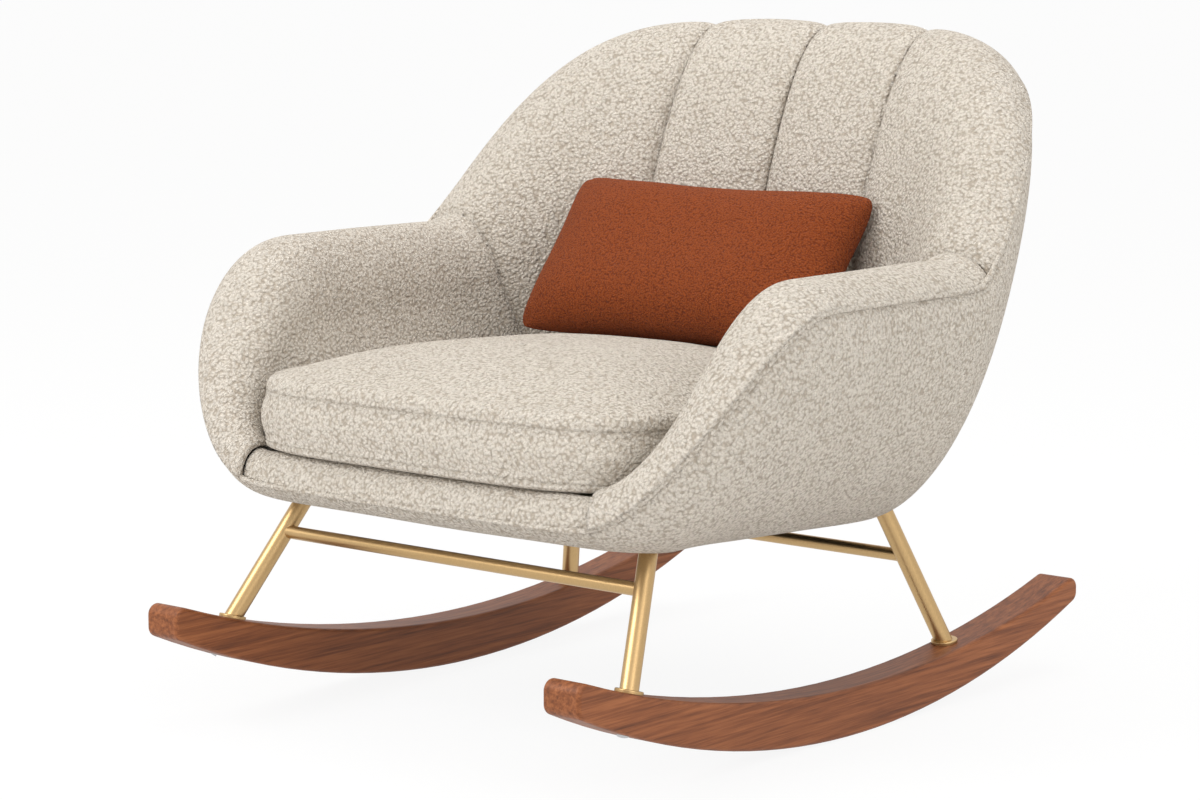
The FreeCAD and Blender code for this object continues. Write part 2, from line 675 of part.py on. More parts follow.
def outer_covers():
    """Outside fabric: one half each side and a strip under the front rail pad."""
    half = clear_of_seat(body_between(HALF_TUB, cover_layer, cover_lining))
    side = half.cut(rail_zone(SEAM_GAP)).common(upright(SEAM_GAP / 2, LONG_REACH))
    return {
        "outer_cover_right": side,
        "outer_cover_left": mirrored(side),
        "front_cover": both_sides(half.common(rail_zone(0))),
    }


def tub_pads():
    """Rail pad, arm pads and back channels, cut from one padded band round the tub."""
    half = clear_of_seat(body_between(HALF_TUB, pad_skin, pad_lining))
    behind = half.cut(rail_zone(SEAM_GAP))
    outer = behind.common(upright(CHANNEL_WIDTH + SEAM_GAP / 2, LONG_REACH))
    right = {
        "arm_pad_": outer.common(arm_zone(0)),
        "back_channel_outer_": outer.cut(arm_zone(SEAM_GAP)),
        "back_channel_inner_": behind.common(upright(SEAM_GAP / 2, CHANNEL_WIDTH - SEAM_GAP / 2)),
    }
    pads = {"front_rail_pad": both_sides(half.common(rail_zone(0)))}
    for name, pad in right.items():
        pads[name + "right"] = pad
        pads[name + "left"] = mirrored(pad)
    return pads


def dust_cover():
    loop = []
    for degrees in angles(0.0, 360.0)[:-1]:
        s = Section(degrees)
        r = s.hem + DUST_COVER_LAP
        loop.append(vec(s.x + r * s.out_x, s.y + r * s.out_y, -DUST_COVER_DROP - DUST_COVER_THICKNESS))
    sheet = on_seat(Part.Face(smooth_loop(loop)).extrude(vec(0, 0, DUST_COVER_THICKNESS)))
    for hole in leg_holes(FABRIC_PLAY):
        sheet = sheet.cut(hole)
    return sheet


# Seat cushion: boxed border between two crowned faces, as (scale of the plan, zone, share of its height)
CUSHION_RINGS = [(0.9, "under", 0.0), (0.97, "under", 0.4), (1.0, "under", 1.0), (1.01, "border", 0.5),
                 (1.0, "border", 1.0)]
CROWN_SCALES = [0.96, 0.88, 0.76, 0.6, 0.42, 0.22]
CROWN_POWER = 2.3


def cushion_level(zone, share):
    if zone == "under":
        return CUSHION_UNDER_CROWN * share
    if zone == "border":
        return CUSHION_UNDER_CROWN + CUSHION_BORDER * share
    return CUSHION_UNDER_CROWN + CUSHION_BORDER + CUSHION_CROWN * share


def cushion(inset):
    whole = cushion_level("crown", 1.0)
    loops = []
    for scale, zone, share in CUSHION_RINGS + [(c, "crown", 1 - c ** CROWN_POWER) for c in CROWN_SCALES]:
        level = CUSHION_LEVEL + inset + cushion_level(zone, share) * (whole - 2 * inset) / whole
        points = []
        for a in OVAL_ANGLES:
            x, y = oval_point(a, CUSHION_HALF_WIDTH - inset, CUSHION_FRONT + inset, CUSHION_BACK - inset,
                              CUSHION_CENTRE_Y, CUSHION_FRONT_SQUARENESS, CUSHION_BACK_SQUARENESS)
            points.append(vec(scale * x, CUSHION_CENTRE_Y + scale * (y - CUSHION_CENTRE_Y), level))
        loops.append(smooth_loop(points))
    return on_seat(Part.makeLoft(loops, True, True))


# Lumbar pillow: two bulging faces that meet in a thin edge
PILLOW_SCALES = [0.22, 0.44, 0.63, 0.78, 0.89, 0.96, 1.0]
PILLOW_POWER = 0.6


def pillow(inset):
    rings = [(c, -(1 - c * c) ** PILLOW_POWER) for c in PILLOW_SCALES]
    rings += [(c, -lift) for c, lift in reversed(rings[:-1])]
    half = PILLOW_HEIGHT / 2 - inset
    loops = []
    for scale, lift in rings:
        height = vec(0, 0, lift * (PILLOW_THICKNESS / 2 - inset))
        loops.append(smooth_loop([vec(*oval_point(a, PILLOW_WIDTH / 2 - inset, -half, half, 0, PILLOW_SQUARENESS,
                                                  PILLOW_SQUARENESS), 0) * scale + height for a in OVAL_ANGLES]))
    body = Part.makeLoft(loops, True, True)
    body.rotate(vec(0, 0, 0), vec(1, 0, 0), 90 - PILLOW_LEAN)
    lean = math.radians(PILLOW_LEAN)
    rise = PILLOW_HEIGHT / 2
    body.translate(vec(PILLOW_MIDDLE_X, PILLOW_FOOT_Y + rise * math.sin(lean), PILLOW_FOOT_Z + rise * math.cos(lean)))
    return body


os.makedirs("parts", exist_ok=True)

save("rocker_left", rocker(-1))
save("rocker_right", rocker(1))
for name, leg in LEGS.items():
    save(name, leg_tube(leg))
save("front_stretcher", stretcher(FRONT_STRETCHER_Z, LEGS["front_leg_left"], LEGS["front_leg_right"]))
save("rear_stretcher", stretcher(REAR_STRETCHER_Z, LEGS["rear_leg_left"], LEGS["rear_leg_right"]))
save("foot_collars", group([collar(leg) for leg in LEGS.values()]))
save("foot_plugs", group([foot_plug(leg) for leg in LEGS.values()]))
save("rocker_bolts", group([rocker_bolt(leg) for leg in LEGS.values()]))
save("leg_plates", group([leg_plate(leg) for leg in LEGS.values()]))
save("plate_screws", group([screw for leg in LEGS.values() for screw in plate_screws(leg)]))

save("seat_rail_left", side_rail(-1))
save("seat_rail_right", side_rail(1))
save("seat_rail_front", cross_rail(FRAME_FRONT))
save("seat_rail_rear", cross_rail(FRAME_BACK - RAIL_WIDTH))
save("corner_blocks", corner_blocks())
save("webbing_long", straps_long())
save("webbing_cross", straps_cross())
save("deck_pad", deck_pad())
save("dust_cover", dust_cover())

save("tub_shell", tub_shell())
for name, cover in outer_covers().items():
    save(name, cover)
save("rim_welt", welt_loop())
for name, pad in tub_pads().items():
    save(name, pad)

save("cushion_cover", cushion(0).cut(cushion(CUSHION_COVER_WALL)))
save("cushion_core", cushion(CUSHION_COVER_WALL + GAP))
save("pillow_cover", pillow(0).cut(pillow(PILLOW_COVER_WALL)))
save("pillow_filling", pillow(PILLOW_COVER_WALL + GAP))
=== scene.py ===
import bisect
import json
import math

import bmesh
import bpy
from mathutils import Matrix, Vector, noise


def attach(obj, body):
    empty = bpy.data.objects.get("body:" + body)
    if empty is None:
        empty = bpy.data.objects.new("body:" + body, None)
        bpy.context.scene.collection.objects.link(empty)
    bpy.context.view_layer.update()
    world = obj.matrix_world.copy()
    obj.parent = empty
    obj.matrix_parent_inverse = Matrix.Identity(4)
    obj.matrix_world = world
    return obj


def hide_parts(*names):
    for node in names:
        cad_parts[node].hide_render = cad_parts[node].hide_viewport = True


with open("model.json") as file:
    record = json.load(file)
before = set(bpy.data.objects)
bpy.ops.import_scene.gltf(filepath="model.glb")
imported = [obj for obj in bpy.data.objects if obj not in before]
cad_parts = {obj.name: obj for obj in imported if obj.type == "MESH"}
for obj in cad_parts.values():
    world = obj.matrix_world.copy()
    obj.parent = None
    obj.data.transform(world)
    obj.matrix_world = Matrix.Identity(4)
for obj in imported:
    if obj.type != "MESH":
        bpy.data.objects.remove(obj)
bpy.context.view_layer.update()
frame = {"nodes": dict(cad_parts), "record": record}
nodes = frame["nodes"]

MM = 0.001
TINY = 1e-6

# Tub form, in millimetres; three values are those at the front rail, the arms and the back
RIM_HALF_WIDTH, RIM_CENTRE_Y, RIM_FRONT, RIM_BACK = 399.0, 20.0, 405.0, 380.0
FRONT_SQUARENESS, BACK_SQUARENESS, FRONT_FAN, BACK_FAN = 5.2, 2.6, 5.2, 3.2
FRONT_RAMP, BACK_RAMP, BACK_RISE = (-60.0, -26.0), (8.6, 90.0), 2.6
RIM_HEIGHT = (329.0, 561.0, 822.0)
OUTER_ROLL, OUTER_DROP = (24.0, 60.0, 52.0), (34.0, 48.0, 60.0)
INNER_ROLL, INNER_DROP = (14.0, 52.0, 139.0), (14.0, 80.0, 219.0)
INNER_FULLNESS = (1.0, 1.0, 0.76)
HEM_INSET, FOOT_INSET = (95.0, 136.0, 165.0), (16.0, 86.0, 158.0)
FOOT_LEVEL = (31.0, 69.6, 69.6)
WALL_SHARE, TUCK_SHARE = (0.5, 0.34, 0.2), 0.57
WELT_ANGLE, WELT_RADIUS = (90.0, 63.0, 63.0), 3.4
RAIL_END_ANGLE = 56.0
RAIL_END_X = 270.0
CHANNEL_WIDTH = 169.0
ARM_SEAM_TOP, ARM_SEAM_LOW = (118.0, 561.0), (146.0, 415.0)
ARM_SEAM_RUN, ARM_SEAM_FALL = ARM_SEAM_LOW[0] - ARM_SEAM_TOP[0], ARM_SEAM_TOP[1] - ARM_SEAM_LOW[1]
ARM_SEAM_INNER_X = 228.0
SEAT_REF_Y, SEAT_REF_Z, SEAT_FALL = -390.0, 262.0, 0.05

# Curves of the tub's inner face: how the roll starts and turns, and how the wall below runs to its foot
ROLL_LEAD, ROLL_LEAD_POWER, ROLL_SHOULDER = 0.55, 1.5, 0.45
WALL_CARRY, FOOT_RISE = 0.6, 0.4

# Cushion and pillow, in millimetres
CUSHION_HALF, CUSHION_FRONT, CUSHION_BACK, CUSHION_CENTRE = 304.0, -412.0, 196.0, -90.0
CUSHION_SQUARENESS = (5.0, 2.9)
CUSHION_LEVEL, CUSHION_UNDER, CUSHION_BORDER, CUSHION_CROWN = 69.0, 7.0, 77.0, 56.0
CROWN_POWER = 2.7
PILLOW_SIZE = (464.0, 234.0, 114.0)
PILLOW_MIDDLE_X = -16.0
PILLOW_FOOT, PILLOW_LEAN = (74.4, 434.7), 37.0


def spread(start, stop, count):
    return [start + (stop - start) * i / (count - 1) for i in range(count)]


def clamp(t):
    return min(max(t, 0.0), 1.0)


def smooth(t):
    return t * t * (3 - 2 * t)


def smoother(t):
    return t ** 3 * (10 + t * (6 * t - 15))


def bezier(a, b, c, d, t):
    s = 1.0 - t
    return s ** 3 * a + 3 * s * s * t * b + 3 * s * t * t * c + t ** 3 * d


def edge_reach(c, s, half_width, depth, power):
    """Distance from the middle of a squared oval to its edge, along (c, s)."""
    return (abs(c / half_width) ** power + abs(s / depth) ** power) ** (-1.0 / power)


def underside_z(y):
    return SEAT_REF_Z - SEAT_FALL * (y - SEAT_REF_Y)


class Section:
    """Vertical section through the tub at one angle round the rim; its points are (r, z), r outwards."""

    def __init__(self, degrees):
        angle = math.radians(degrees)
        c, s = math.cos(angle), math.sin(angle)
        front = s < 0
        depth = RIM_FRONT if front else RIM_BACK
        fan = FRONT_FAN if front else BACK_FAN
        reach = edge_reach(c, s, RIM_HALF_WIDTH, depth, FRONT_SQUARENESS if front else BACK_SQUARENESS)
        self.x, self.y = reach * c, RIM_CENTRE_Y + reach * s
        out_x = math.copysign(abs(reach * c / RIM_HALF_WIDTH) ** (fan - 1) / RIM_HALF_WIDTH, c)
        out_y = math.copysign(abs(reach * s / depth) ** (fan - 1) / depth, s)
        length = math.hypot(out_x, out_y)
        self.out_x, self.out_y = out_x / length, out_y / length
        lift = math.degrees(math.asin(s))
        self.arm = smoother(clamp((lift - FRONT_RAMP[0]) / (FRONT_RAMP[1] - FRONT_RAMP[0])))
        climb = clamp((lift - BACK_RAMP[0]) / (BACK_RAMP[1] - BACK_RAMP[0]))
        self.back = smooth(1 - (1 - climb) ** BACK_RISE)
        self.rim = self.mix(RIM_HEIGHT)
        self.roll, self.drop = self.mix(OUTER_ROLL), self.mix(OUTER_DROP)
        self.inner_roll, self.inner_drop = self.mix(INNER_ROLL), self.mix(INNER_DROP)
        self.fullness = self.mix(INNER_FULLNESS)
        self.wall = self.mix(WALL_SHARE)
        self.hem, self.foot = -self.mix(HEM_INSET), -self.mix(FOOT_INSET)
        self.welt = self.mix(WELT_ANGLE) / 90.0
        self.foot_z = self.underside(self.foot) + self.mix(FOOT_LEVEL)

    def mix(self, triple):
        rail, arm, back = triple
        return rail + (arm - rail) * self.arm + (back - arm) * self.back

    def underside(self, r):
        return underside_z(self.y + r * self.out_y)

    def outer(self, t):
        """Outer face: over the roll for t from 0 to 1, then down the wall to the hem at 2."""
        if t <= 1:
            a = t * math.pi / 2
            return self.roll * math.sin(a), self.rim - self.drop * (1 - math.cos(a))
        top = self.rim - self.drop
        tuck = self.hem + TUCK_SHARE * (self.roll - self.hem)
        wall = self.wall * (top - self.underside(self.hem))
        r = bezier(self.roll, self.roll, tuck, self.hem, t - 1)
        return r, bezier(top, top - wall, self.underside(tuck), self.underside(self.hem), t - 1)

    def inner(self, t):
        """Inner face: down the roll for t from 0 to 1, then down the wall to its foot at 2."""
        low = self.rim - self.inner_drop
        if t <= 1:
            lead = ROLL_LEAD * self.fullness ** ROLL_LEAD_POWER
            r = bezier(0, -lead * self.inner_roll, -self.fullness * self.inner_roll, -self.inner_roll, t)
            return r, bezier(self.rim, self.rim, self.rim - ROLL_SHOULDER * self.inner_drop, low, t)
        height = low - self.foot_z
        carry = (1 - self.fullness) * self.inner_roll * WALL_CARRY * height / self.inner_drop
        r = bezier(-self.inner_roll, -self.inner_roll - carry, self.foot, self.foot, t - 1)
        return r, bezier(low, low - height / 3, self.foot_z + FOOT_RISE * height, self.foot_z, t - 1)

    def within(self, t, depth):
        """Point of the outer face moved inwards by a depth."""
        step = 1e-4
        (r0, z0), (r1, z1) = self.outer(t - step), self.outer(t + step)
        length = math.hypot(r1 - r0, z1 - z0)
        r, z = self.outer(t)
        return r + depth * (z1 - z0) / length, z - depth * (r1 - r0) / length

    def place(self, point):
        r, z = point
        return Vector((self.x + r * self.out_x, self.y + r * self.out_y, z)) * MM


# Mesh helpers
def new_object(name, bm):
    mesh = bpy.data.meshes.new(name)
    bm.to_mesh(mesh)
    bm.free()
    for p in mesh.polygons:
        p.use_smooth = True
    obj = bpy.data.objects.new(name, mesh)
    bpy.context.scene.collection.objects.link(obj)
    return obj


def grid(bm, rows, closed=False):
    """Quads between rows of points; a closed grid joins the last column to the first."""
    verts = [[bm.verts.new(p) for p in row] for row in rows]
    for a, b in zip(verts, verts[1:]):
        count = len(a) if closed else len(a) - 1
        for i in range(count):
            j = (i + 1) % len(a)
            bm.faces.new((a[i], a[j], b[j], b[i]))
    return verts


def cut_plane(bm, point, normal, chosen):
    """Cut the faces whose middles are chosen along a plane, keeping both sides."""
    faces = [f for f in bm.faces if chosen(f.calc_center_median())]
    geom = set(faces)
    for f in faces:
        geom.update(f.edges)
        geom.update(f.verts)
    bmesh.ops.bisect_plane(bm, geom=list(geom), dist=TINY, plane_co=point, plane_no=normal)


def split_by(bm, name_of):
    """Separate objects, one for each name that name_of gives to a face's middle."""
    groups = {}
    for f in bm.faces:
        groups.setdefault(name_of(f.calc_center_median()), []).append(f)
    objects = {}
    for name, faces in groups.items():
        part = bmesh.new()
        copies = {}
        for f in faces:
            for v in f.verts:
                if v not in copies:
                    copies[v] = part.verts.new(v.co)
            part.faces.new([copies[v] for v in f.verts])
        objects[name] = new_object(name, part)
    bm.free()
    return objects


def face_up(bm):
    """Turn the faces so that the topmost one points up."""
    bmesh.ops.recalc_face_normals(bm, faces=bm.faces)
    top = max(bm.faces, key=lambda f: f.calc_center_median().z)
    top.normal_update()
    if top.normal.z < 0:
        bmesh.ops.reverse_faces(bm, faces=bm.faces)


def face_out(bm):
    """Turn the faces so that the farthest one points away from the middle of the chair."""
    bmesh.ops.recalc_face_normals(bm, faces=bm.faces)
    side = max(bm.faces, key=lambda f: f.calc_center_median().length)
    side.normal_update()
    middle = side.calc_center_median()
    if side.normal.dot(Vector((middle.x, middle.y, 0))) < 0:
        bmesh.ops.reverse_faces(bm, faces=bm.faces)


def displace(bm, relief):
    """Move each point along its normal by its relief in millimetres."""
    bm.normal_update()
    moves = [(v, v.normal * relief(v.co) * MM) for v in bm.verts]
    for v, move in moves:
        v.co += move


def thicken(obj, thickness):
    solid = obj.modifiers.new("thickness", "SOLIDIFY")
    solid.thickness = thickness * MM
    solid.offset = -1.0


def lumps(p, scale, amount):
    """Low uneven relief: how closely its lumps lie, and their height in millimetres."""
    return amount * noise.noise(p * scale)


# Padding of the tub: puffs, seams and lumps
CHANNEL_PUFF, SEAM_DEPTH, SEAM_WIDTH, PUFF_WIDTH = 8.0, 11.0, 6.0, 32.0
ARM_SEAM_DEPTH, ARM_SEAM_WIDTH = 7.0, 6.0
RIM_FADE, RIM_SEAM_SHARE, RIM_SAMPLES = 110.0, 0.62, 361
BACK_RIM = sorted((s.x, s.rim) for s in (Section(a) for a in spread(0.0, 180.0, RIM_SAMPLES)))
PAD_COLUMNS, PAD_ROWS, PAD_THICKNESS, PAD_LUMPS = 440, (12, 30, 50), 6.0, (8.0, 1.6)
RAIL_PUFF, RAIL_PUFF_EDGE = 4.0, 60.0
RAIL_COLUMNS, RAIL_ROWS, RAIL_THICKNESS, RAIL_LUMPS = 160, (10, 12, 6), 4.0, (14.0, 0.8)
# Cuts beside each seam, which give its groove enough points
CHANNEL_CUTS = (-14, -7, -3, 0, 3, 7, 14)
ARM_SEAM_CUTS, ARM_CUT_MARGIN = (-9, -4, 0, 4, 9), 30


def arm_seam_distance(p):
    """Distance from the slanting seam between arm and back in millimetres, positive ahead of it."""
    length = math.hypot(ARM_SEAM_RUN, ARM_SEAM_FALL)
    y, z = p.y / MM - ARM_SEAM_TOP[0], p.z / MM - ARM_SEAM_TOP[1]
    return -(y * ARM_SEAM_FALL + z * ARM_SEAM_RUN) / length


def pad_name(p):
    side = "right" if p.x > 0 else "left"
    if abs(p.x) / MM > ARM_SEAM_INNER_X and arm_seam_distance(p) > 0:
        return "arm_pad_" + side
    if abs(p.x) / MM > CHANNEL_WIDTH:
        return "back_channel_outer_" + side
    return "back_channel_inner_" + side


def seam_share(p):
    """Share of the full seam depth: seams run shallow over the rim and deepen below it."""
    i = min(bisect.bisect_left(BACK_RIM, (p.x / MM, 0.0)), len(BACK_RIM) - 1)
    below = clamp((BACK_RIM[i][1] - p.z / MM) / RIM_FADE)
    return RIM_SEAM_SHARE + (1 - RIM_SEAM_SHARE) * smooth(below)


def pad_relief(p):
    """How far the padding stands out at a point, in millimetres."""
    x = abs(p.x) / MM
    across = min(x, abs(x - CHANNEL_WIDTH))
    ahead = abs(arm_seam_distance(p))
    puff = CHANNEL_PUFF * (1 - math.exp(-across / PUFF_WIDTH)) * (1 - math.exp(-ahead / PUFF_WIDTH))
    groove = SEAM_DEPTH * math.exp(-across / SEAM_WIDTH)
    side = clamp((x - CHANNEL_WIDTH) / (ARM_SEAM_INNER_X - CHANNEL_WIDTH))
    tuck = ARM_SEAM_DEPTH * side * math.exp(-ahead / ARM_SEAM_WIDTH)
    return (puff - groove) * seam_share(p) - tuck + lumps(p, *PAD_LUMPS)


def rail_relief(p):
    """How far the front rail stands out, with no puff at its two ends."""
    share = smooth(clamp((RAIL_END_X - abs(p.x) / MM) / RAIL_PUFF_EDGE))
    return RAIL_PUFF * share + lumps(p, *RAIL_LUMPS)


def skin_rows(s, roll, inner, wall):
    """Points from the welt over the roll and down the inner face to its foot."""
    over = [s.outer(s.welt * (1 - t)) for t in spread(0, 1, roll)][:-1]
    down = [s.inner(t) for t in spread(0, 1, inner)] + [s.inner(t) for t in spread(1, 2, wall)][1:]
    return [s.place(point) for point in over + down]


def build_pads():
    """Arm pads and back channels: one skin, cut at the seams and parted there."""
    bm = bmesh.new()
    columns = [Section(a) for a in spread(-RAIL_END_ANGLE, 180 + RAIL_END_ANGLE, PAD_COLUMNS)]
    grid(bm, [skin_rows(s, *PAD_ROWS) for s in columns])
    for x in (0, CHANNEL_WIDTH, -CHANNEL_WIDTH):
        for offset in CHANNEL_CUTS:
            cut_plane(bm, Vector((x + offset, 0, 0)) * MM, Vector((1, 0, 0)), lambda c: c.y > 0)
    normal = Vector((0, ARM_SEAM_FALL, ARM_SEAM_RUN)).normalized()
    for offset in ARM_SEAM_CUTS:
        point = Vector((0, ARM_SEAM_TOP[0], ARM_SEAM_TOP[1])) * MM + normal * offset * MM
        cut_plane(bm, point, normal, lambda c: abs(c.x) / MM > ARM_SEAM_INNER_X - ARM_CUT_MARGIN)
    for x in (ARM_SEAM_INNER_X, -ARM_SEAM_INNER_X):
        cut_plane(bm, Vector((x, 0, 0)) * MM, Vector((1, 0, 0)), lambda c: c.y > 0)
    face_up(bm)
    displace(bm, pad_relief)
    return split_by(bm, pad_name)


def build_rail_pad():
    bm = bmesh.new()
    columns = [Section(a) for a in spread(RAIL_END_ANGLE - 180, -RAIL_END_ANGLE, RAIL_COLUMNS)]
    grid(bm, [skin_rows(s, *RAIL_ROWS) for s in columns])
    face_up(bm)
    displace(bm, rail_relief)
    obj = new_object("front_rail_padding", bm)
    thicken(obj, RAIL_THICKNESS)
    return obj


# Outer fabric, welt and lining of the tub
COVER_SEAM_DEPTH, COVER_SEAM_WIDTH = 2.5, 3.5
COVER_ROLL_ROWS, COVER_WALL_ROWS, COVER_END = 10, 60, 1.995
COVER_THICKNESS, COVER_LUMPS, SIDE_COVER_COLUMNS = 3.0, (6.0, 1.2), 260
WELT_STEPS, WELT_SINK, WELT_SIDES = 721, 1.2, 10
LINING_STEPS, LINING_INSET, LINING_DROP, LINING_THICKNESS = 181, 8.0, 0.6, 1.2


def cover_relief(p):
    """Relief of the outer fabric, with a seam down the middle of the back."""
    seam = COVER_SEAM_DEPTH * math.exp(-abs(p.x) / MM / COVER_SEAM_WIDTH) * (p.y > 0)
    return lumps(p, *COVER_LUMPS) - seam


def build_cover(name, start, stop, columns):
    bm = bmesh.new()
    rows = []
    for s in [Section(a) for a in spread(start, stop, columns)]:
        steps = spread(s.welt, 1, COVER_ROLL_ROWS)[:-1] + spread(1, COVER_END, COVER_WALL_ROWS)
        rows.append([s.place(s.outer(t)) for t in steps])
    grid(bm, rows)
    face_out(bm)
    displace(bm, cover_relief)
    obj = new_object(name, bm)
    thicken(obj, COVER_THICKNESS)
    return obj


def tube_rows(centres, radius, sides):
    """Rings of points round a closed line."""
    rows = []
    count = len(centres)
    for i, c in enumerate(centres):
        along = (centres[(i + 1) % count] - centres[i - 1]).normalized()
        side = along.cross(Vector((0, 0, 1))).normalized()
        up = side.cross(along)
        rows.append([c + (side * math.cos(a) + up * math.sin(a)) * radius
                     for a in (2 * math.pi * k / sides for k in range(sides))])
    return rows


def build_welt():
    """Piping round the whole rim, sunk a little into the fabric."""
    centres = []
    for a in spread(0, 360, WELT_STEPS)[:-1]:
        s = Section(a)
        centres.append(s.place(s.within(s.welt, -WELT_RADIUS + WELT_SINK)))
    bm = bmesh.new()
    rows = tube_rows(centres, WELT_RADIUS * MM, WELT_SIDES)
    grid(bm, rows + [rows[0]], closed=True)
    bmesh.ops.remove_doubles(bm, verts=bm.verts, dist=TINY)
    bmesh.ops.recalc_face_normals(bm, faces=bm.faces)
    return new_object("rim_welt_piping", bm)


def build_lining():
    """Dust cover under the seat, a flat sheet inside the hem of the outer fabric."""
    bm = bmesh.new()
    rim = []
    for a in spread(0, 360, LINING_STEPS)[:-1]:
        s = Section(a)
        r = s.hem - LINING_INSET
        rim.append(bm.verts.new(s.place((r, s.underside(r) - LINING_DROP))))
    bm.faces.new(rim)
    bmesh.ops.recalc_face_normals(bm, faces=bm.faces)
    obj = new_object("seat_lining", bm)
    thicken(obj, LINING_THICKNESS)
    return obj


# Seat cushion: underside, border between two stitched seams, rounded edge and crowned top
UNDER_RINGS, UNDER_FLAT, UNDER_ROUND, UNDER_STEPS = (0.02, 0.3, 0.6, 0.8), 0.9, 0.1, 8
# Rise and outward offset of the fabric across a stitched seam
STITCHED_SEAM = ((1.0, 0.2), (3.0, 0.6), (4.3, -1.0), (5.0, -1.6), (5.7, -1.0), (7.0, 0.6), (9.0, 0.2))
SEAM_SPAN, SEAM_MIDDLE = 10.0, 5.0
BORDER_BULGE, BORDER_RANGE, BORDER_STEPS = 0.016, (0.05, 0.95), 12
EDGE_DROP, EDGE_ROUND, EDGE_FULL, EDGE_STEPS = 12.0, 0.075, 0.85, 12
TOP_RINGS, TOP_SPACING, TOP_MIDDLE, MIDDLE_RINGS = 15, 1.4, 0.1, 6
# The lumps start at a height in metres, so the underside stays flat
CUSHION_COLUMNS, CUSHION_LUMPS, CUSHION_LUMPS_FROM = 240, (7.0, 1.5), 0.34


def seat_point(x, y, level):
    """Point at a level above the tilted underside of the seat."""
    tilt = math.atan(SEAT_FALL)
    along = y - SEAT_REF_Y
    return Vector((x, SEAT_REF_Y + along * math.cos(tilt) + level * math.sin(tilt),
                   SEAT_REF_Z - along * math.sin(tilt) + level * math.cos(tilt))) * MM


def cushion_plan(angle):
    c, s = math.cos(angle), math.sin(angle)
    depth = CUSHION_CENTRE - CUSHION_FRONT if s < 0 else CUSHION_BACK - CUSHION_CENTRE
    power = CUSHION_SQUARENESS[0] if s < 0 else CUSHION_SQUARENESS[1]
    reach = edge_reach(c, s, CUSHION_HALF, depth, power)
    return reach * c, reach * s


def cushion_rings():
    """Scale of the plan, level and outward offset, from the middle of the underside to that of the top."""
    under = CUSHION_UNDER
    top = CUSHION_UNDER + CUSHION_BORDER
    seam = top - EDGE_DROP
    rings = [(c, 0.0, 0.0) for c in UNDER_RINGS]
    rings += [(UNDER_FLAT + UNDER_ROUND * math.sin(a), under * (1 - math.cos(a)), 0.0)
              for a in spread(0, math.pi / 2, UNDER_STEPS)]
    rings += [(1.0, under + rise, out) for rise, out in STITCHED_SEAM]
    border = CUSHION_BORDER - EDGE_DROP - SEAM_SPAN - SEAM_MIDDLE
    rings += [(1.0 + BORDER_BULGE * math.sin(math.pi * t), under + SEAM_SPAN + border * t, 0.0)
              for t in spread(*BORDER_RANGE, BORDER_STEPS)]
    rings += [(1.0, seam - SEAM_MIDDLE + rise, out) for rise, out in STITCHED_SEAM]
    lip = 1.0 - EDGE_ROUND
    low, high = seam + SEAM_MIDDLE, top + CUSHION_CROWN * (1 - lip ** CROWN_POWER)
    for a in spread(0.0, math.pi / 2, EDGE_STEPS)[1:]:
        level = low + (high - low) * math.sin(a) ** EDGE_FULL
        rings.append((1.0 - EDGE_ROUND * (1 - math.cos(a)), level, 0.0))
    scales = [lip - (lip - TOP_MIDDLE) * (k / TOP_RINGS) ** TOP_SPACING for k in range(1, TOP_RINGS + 1)]
    scales += [TOP_MIDDLE * (1 - k / MIDDLE_RINGS) for k in range(1, MIDDLE_RINGS)]
    return rings + [(c, top + CUSHION_CROWN * (1 - c ** CROWN_POWER), 0.0) for c in scales]


def build_cushion():
    bm = bmesh.new()
    plan = [cushion_plan(2 * math.pi * i / CUSHION_COLUMNS) for i in range(CUSHION_COLUMNS)]
    rows = []
    for scale, level, offset in cushion_rings():
        row = []
        for x, y in plan:
            grow = scale + offset / math.hypot(x, y)
            row.append(seat_point(x * grow, CUSHION_CENTRE + y * grow, CUSHION_LEVEL + level))
        rows.append(row)
    verts = grid(bm, rows, closed=True)
    bm.faces.new(list(reversed(verts[0])))
    bm.faces.new(verts[-1])
    bmesh.ops.recalc_face_normals(bm, faces=bm.faces)
    displace(bm, lambda p: lumps(p, *CUSHION_LUMPS) if p.z > CUSHION_LUMPS_FROM else 0.0)
    return new_object("seat_cushion", bm)


# Lumbar pillow: two bulging faces that meet in a thin edge, with soft ears at the corners
PILLOW_COLUMNS, PILLOW_ROWS, PILLOW_LUMPS = 96, 56, (12.0, 1.6)
EDGE_SAG, SIDE_SAG, CORNER_POWER, CORNER_EASE = 0.11, 0.035, 18.0, 6
BULGE_POWER, BULGE_FULL, EDGE_HALF_THICKNESS = 4, 0.52, 0.8


def pillow_point(u, v, face):
    """Point of the front (1) or back (-1) face, with u and v from -1 to 1."""
    width, height, thickness = PILLOW_SIZE
    reach = max(abs(u), abs(v), TINY)
    corner = edge_reach(u, v, reach, reach, CORNER_POWER)
    inset = 1 + (corner - 1) * reach ** CORNER_EASE
    x = width / 2 * u * inset * (1 - SIDE_SAG * (1 - v * v))
    y = height / 2 * v * inset * (1 - EDGE_SAG * (1 - u * u))
    bulge = max((1 - u ** BULGE_POWER) * (1 - v ** BULGE_POWER), 0.0) ** BULGE_FULL
    z = face * (thickness / 2 * bulge + EDGE_HALF_THICKNESS)
    lean = math.radians(PILLOW_LEAN)
    middle = Vector((PILLOW_MIDDLE_X,
                     PILLOW_FOOT[0] + height / 2 * math.sin(lean),
                     PILLOW_FOOT[1] + height / 2 * math.cos(lean)))
    up = Vector((0, math.sin(lean), math.cos(lean)))
    out = Vector((0, -math.cos(lean), math.sin(lean)))
    return (middle + Vector((x, 0, 0)) + up * y + out * z) * MM


